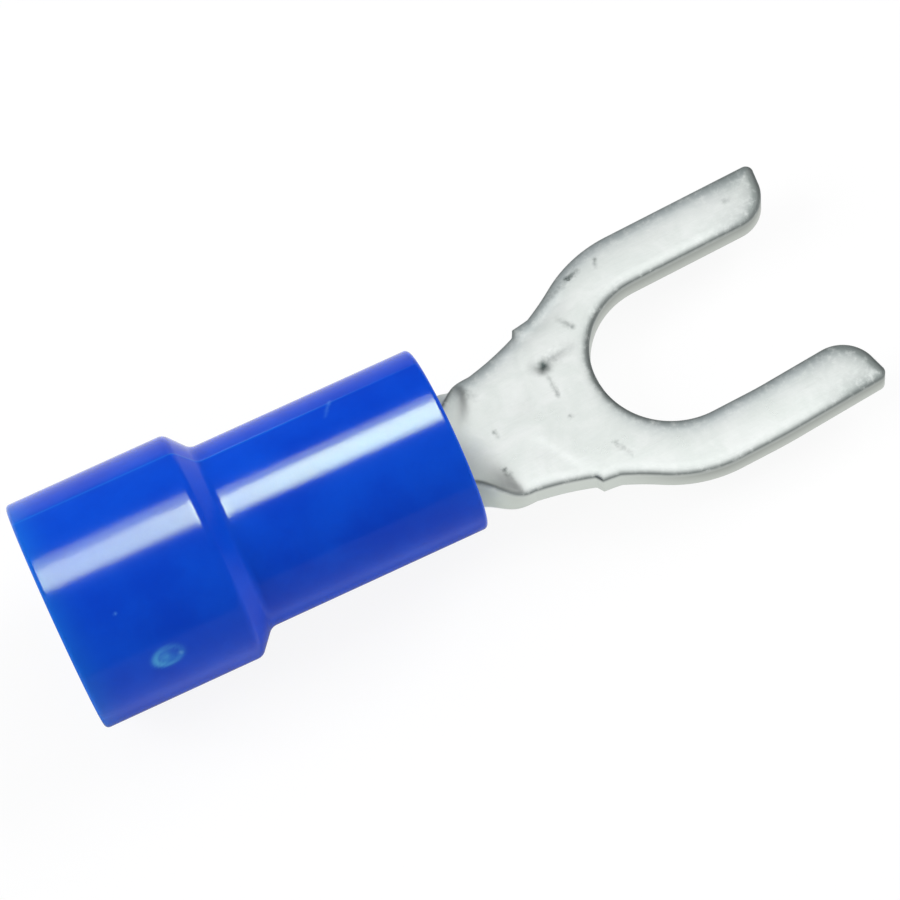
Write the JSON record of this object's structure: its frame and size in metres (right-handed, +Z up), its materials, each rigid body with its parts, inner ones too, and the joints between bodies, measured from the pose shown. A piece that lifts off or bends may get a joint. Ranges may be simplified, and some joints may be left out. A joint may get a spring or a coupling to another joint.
{
  "type": "fork terminal",
  "caption": "Insulated crimp fork terminal: a flat tinned tongue with an open slot for a stud, a rolled crimp barrel for the wire and a stepped blue vinyl sleeve over the barrel.",
  "frame": {"origin": "centre of the stud slot's round root, on the tongue's flat underside", "axes": "+X along the tongue from the wire end to the tine tips, +Y across the tongue, +Z up through the tongue along the stud, to the side where the barrel stands above the tongue; the barrel and its sleeve are bent 3 degrees sideways from X, their rear end towards +Y"},
  "size_m": [0.0217, 0.0074, 0.0061],
  "materials": {
    "tinned_metal": "copper alloy sheet, tin plated, satin bright",
    "blue_vinyl": "smooth moulded vinyl, glossy"
  },
  "bodies": {
    "root": {"terminal": "tinned_metal", "sleeve": "blue_vinyl"}
  },
  "joints": []
}
